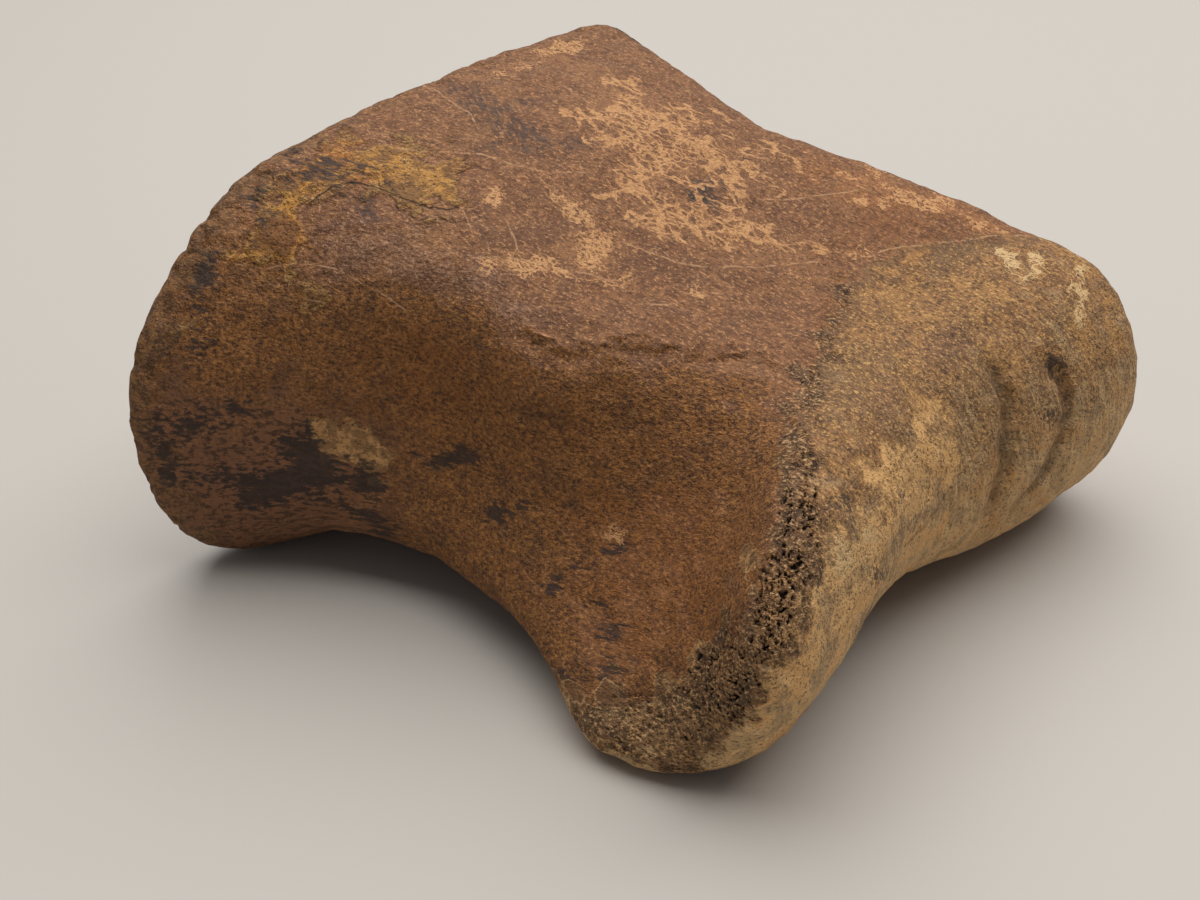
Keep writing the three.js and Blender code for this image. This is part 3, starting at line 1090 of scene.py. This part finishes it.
# %% The hidden sides
is_hidden_rust = both(rise(hidden, 0.55, 0.85), rise(grit, 0.36, 0.56))
painted = lay(painted, (146, 90, 42), both(is_hidden_rust, unseen), 0.35)
tan_height = shifted(hidden, calc("ADD", fleck, mottle), 0.8)
off_joint = both(unseen, calc("SUBTRACT", 1.0, is_ankle_joint))
painted = over(painted, tan, both(both(rise(tan_height, 1.62, 1.8), off_joint), 0.5))
stain_depth = shifted(hidden, calc("ADD", fibre, fleck), -0.6)
is_hidden_stain = both(rise(stain_depth, -0.32, -0.52), unseen)
painted = lay(painted, STAIN_PAINT, is_hidden_stain, 0.7)

# %% [markdown]
# ## The lace of cream veins
#
# Lime filled a net of fine cracks on the dorsal side. The edges of random cells make such a net,
# so two sizes of cells are used, bent by noise and drawn out along the bone. The wider veins
# swell and thin out with the mottling, and the gaps between them are filled in places.

# %% The net
BEND_SIZE = 3
BEND_REACH = 2.4
bend_inputs = {"Vector": object_places, "Scale": 1 / (BEND_SIZE * MM), "Detail": 1.0}
bend = node("ShaderNodeTexNoise", bend_inputs).outputs["Color"]
bend_inputs = {0: bend, 1: (0.5, 0.5, 0.5)}
bend = node("ShaderNodeVectorMath", bend_inputs, operation="SUBTRACT").outputs[0]
bend_inputs = {0: bend, 1: (BEND_REACH * MM,) * 3, 2: object_places}
bent = node("ShaderNodeVectorMath", bend_inputs, operation="MULTIPLY_ADD").outputs[0]
draw_inputs = {"Vector": bent, "Rotation": (0, 0, math.radians(30)), "Scale": (0.6, 1, 1)}
drawn_out = node("ShaderNodeMapping", draw_inputs).outputs[0]

# %% The veins along it
thickness = calc("MULTIPLY_ADD", rise(mottle, 0.35, 0.75), 0.08, -0.01)
thickness = shifted(thickness, rise(fleck, 0.4, 0.6), 0.08)
wide_veins = calc("GREATER_THAN", thickness, cells(3.8, "DISTANCE_TO_EDGE", drawn_out))
thin_edge = cells(1.7, "DISTANCE_TO_EDGE", drawn_out)
thin_veins = both(rise(thin_edge, 0.11, 0.05), rise(cloud, 0.48, 0.66))
filling = both(rise(fleck, 0.56, 0.6), rise(mottle, 0.5, 0.75))
net = either(either(wide_veins, thin_veins), filling)
is_lace = both(rise(ragged("lace", 1.2, 0.9), -0.3, 0.5), net)
is_flake = both(rise(ragged("flakes", 2.0, 5.0), 0.2, 1.0), rise(grit, 0.36, 0.5))
vein = two_tone((206, 154, 102), (172, 120, 74), grit, 0.54, 0.42)
painted = over(painted, vein, both(either(is_lace, is_flake), 0.85))

# %% The other cream patches, paler on the joint face
cream_core = both(rise(ragged("cream", 0.9, 1.6), 0.3, 0.6), rise(grit, 0.4, 0.5))
cream_veins = both(rise(ragged("cream", 0.8, 0.8), -0.9, 0.2), rise(thin_edge, 0.08, 0.03))
cream = over(vein, colour(216, 180, 128), is_toe_joint)
painted = over(painted, cream, both(either(cream_core, cream_veins), 0.85))
print(len(tree.nodes), "nodes with the cream veins")

# %% [markdown]
# ## Cracks, folds and creases
#
# A crack is far thinner than the skin's cells, so it is painted: the skin stores how far each
# point is from the nearest crack, and the material draws a line where that is almost nothing.
# Flecks break the line, as wear does. The creases are real relief, and painted shade darkens them
# and their valleys.

# %% The cracks, the folds and the flaked edge
KINK = 0.35  # how far the lines waver, as a share of the jitter
kink = calc("MULTIPLY", jitter, KINK)


def drawn_line(name, half_width):
    """1 on a stored line, 0 beside it."""
    across = calc("ABSOLUTE", calc("ADD", mark(name + "_across"), kink))
    thin = rise(across, half_width, half_width * 0.4)
    return both(thin, rise(mark(name), 0.3, 0.7))


is_crack = both(drawn_line("crack", 0.2), rise(fleck, 0.42, 0.54))
painted = lay(painted, (190, 144, 102), is_crack, 0.7)
is_fold = both(drawn_line("fold", 0.3), rise(fleck, 0.4, 0.56))
shadow_lines = either(drawn_line("flake", 0.16), both(is_fold, 0.6))
painted = lay(painted, (48, 32, 24), shadow_lines, 0.75)

# %% Painted shade in the creases and their valleys
# Painted shade: the valleys are darkened a little, and the creases more, broken by flecks.
painted = lay(painted, (96, 68, 46), mark("valley"), 0.2)
crease_shade = both(rise(mark("crease"), 0.35, 1.0), rise(fleck, 0.25, 0.6))
painted = lay(painted, (58, 40, 28), crease_shade, 0.5)

# %% [markdown]
# ## The spongy band's colours
#
# The froth's walls are light bone, and its holes are painted dark as painted shade. Between the
# holes that are real relief lie others too small for the skin. Those are painted as dark gaps,
# painted shade too, and pressed in by the bump.

# %% Walls, and painted shade in the gaps and holes
wall = two_tone((180, 130, 76), (118, 82, 50), fleck, 0.42, 0.56)
# The pale crumbs follow the grit: light bone, and painted highlight on the raised walls.
wall_layers = [
    ((92, 64, 42), mottle, 0.42, 0.68, 0.7),  # dark mottling
    ((206, 168, 120), grit, 0.55, 0.64, 0.7),  # pale crumbs
]
wall = layered(wall, wall_layers)
gaps = rise(shifted(calc("MULTIPLY", grit, 0.5), fleck, 0.5), 0.485, 0.435)
# Painted shade: the small gaps between the walls are darkened.
sponge = lay(wall, (44, 30, 21), gaps, 0.8)
is_sponge = rise(ragged("sponge", 1.5, 1.4), -1.4, 1.4)
painted = over(painted, sponge, both(is_sponge, 0.88))
# Painted shade: the holes pressed into the skin are painted nearly black.
painted = over(painted, colour(32, 22, 15), rise(mark("hole"), 0.15, 0.55))

# %% The flaked scale below the near condyle's worn edge
in_scale = ragged("scale", 0.5, 0.5)
is_scale = rise(in_scale, 0.0, 0.2)
scale_rim = both(is_scale, rise(in_scale, 0.5, 0.25))
scale = two_tone((140, 98, 60), (108, 76, 48), grit, 0.42, 0.56)
scale = lay(scale, (196, 154, 106), both(scale_rim, rise(fleck, 0.4, 0.52)), 0.8)
painted = over(painted, scale, both(is_scale, 0.85))
print(len(tree.nodes), "nodes with the sponge and the scale")

# %% [markdown]
# ## The finish
#
# Stone that was bone is matt to silky, and its gloss changes with the flecks. Relief too fine
# for the skin is a Bump: grit and flecks everywhere, less on the dorsal side and the polished
# flank, then the thick crust, the shadow lines and the small gaps of the spongy band.

# %% Gloss and fine relief
BUMP_HEIGHT = 1 * MM
LEAST_ROUGHNESS = 0.58
ROUGHNESS_SPREAD = 0.25
GLOSS_STRENGTH = 0.3

roughest = calc("MULTIPLY_ADD", either(is_dorsal, is_polished), -0.4, 1.0)
height = both(grit, calc("MULTIPLY", roughest, 0.75))
height = shifted(height, fleck, calc("MULTIPLY", roughest, 0.6))
crust_height = calc("MULTIPLY_ADD", fleck, 0.9, 0.15)
height = shifted(height, rise(in_crust, -1.2, 1.5), crust_height)
height = shifted(height, shadow_lines, -0.3)
height = shifted(height, both(is_sponge, gaps), -0.4)
bump = node("ShaderNodeBump", {"Height": height, "Distance": BUMP_HEIGHT, "Strength": 1.0})
matt = calc("MULTIPLY_ADD", fleck, ROUGHNESS_SPREAD, LEAST_ROUGHNESS)
surface = {"Base Color": painted, "Roughness": matt, "Normal": bump.outputs[0]}
body = node("ShaderNodeBsdfPrincipled", surface)
body.inputs["Specular IOR Level"].default_value = GLOSS_STRENGTH
node("ShaderNodeOutputMaterial", {"Surface": body.outputs[0]})
bone.data.materials.clear()
bone.data.materials.append(stone)
print(len(tree.nodes), "nodes in the material")

# %% [markdown]
# ## Floor, light, and the bone joined to its body
#
# The bone lies on a plain pale floor under broad, soft light from above and a little behind, as
# under a ceiling of lamps: its shadow is soft, darkest under the arch, and falls toward the eye.

# %% The floor
FLOOR_SIZE = 8.0
FLOOR_COLOUR = (187, 180, 171)
FLOOR_ROUGHNESS = 0.6

bpy.ops.object.select_all(action="DESELECT")
bpy.ops.mesh.primitive_plane_add(size=FLOOR_SIZE)
floor = bpy.context.object
floor.name = "floor"
pale = bpy.data.materials.new("pale_floor")
pale.use_nodes = True
pale_body = pale.node_tree.nodes["Principled BSDF"]
pale_body.inputs["Base Color"].default_value = colour(*FLOOR_COLOUR)
pale_body.inputs["Roughness"].default_value = FLOOR_ROUGHNESS
floor.data.materials.append(pale)
print("floor", FLOOR_SIZE, "m square")

# %% The lamp and the room's light
LAMP_SIZE = 1.7
LAMP_HEIGHT = 1.0
LAMP_BEHIND = 0.3
LAMP_RIGHT = 0.12
LAMP_POWER = 22.5
ROOM_COLOUR = (236, 238, 242)
ROOM_STRENGTH = 0.23

lamp_turn = Matrix.Rotation(HEADING, 3, "Z")
lamp_place = lamp_turn @ Vector((LAMP_RIGHT, LAMP_BEHIND, LAMP_HEIGHT))
bpy.ops.object.light_add(type="AREA", location=lamp_place)
lamp = bpy.context.object
lamp.rotation_euler = lamp_place.to_track_quat("Z", "Y").to_euler()
lamp.data.size = LAMP_SIZE
lamp.data.energy = LAMP_POWER

room = bpy.data.worlds.new("room")
room.use_nodes = True
room_light = room.node_tree.nodes["Background"]
room_light.inputs["Color"].default_value = colour(*ROOM_COLOUR)
room_light.inputs["Strength"].default_value = ROOM_STRENGTH
bpy.context.scene.world = room
bpy.context.scene.view_settings.view_transform = "Standard"
print(f"lamp {LAMP_SIZE} m square, {lamp_place.length:.2f} m away, {LAMP_POWER} W")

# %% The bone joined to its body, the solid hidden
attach(bone, "root")
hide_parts("toe_bone")
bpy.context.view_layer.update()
bone.data.calc_loop_triangles()
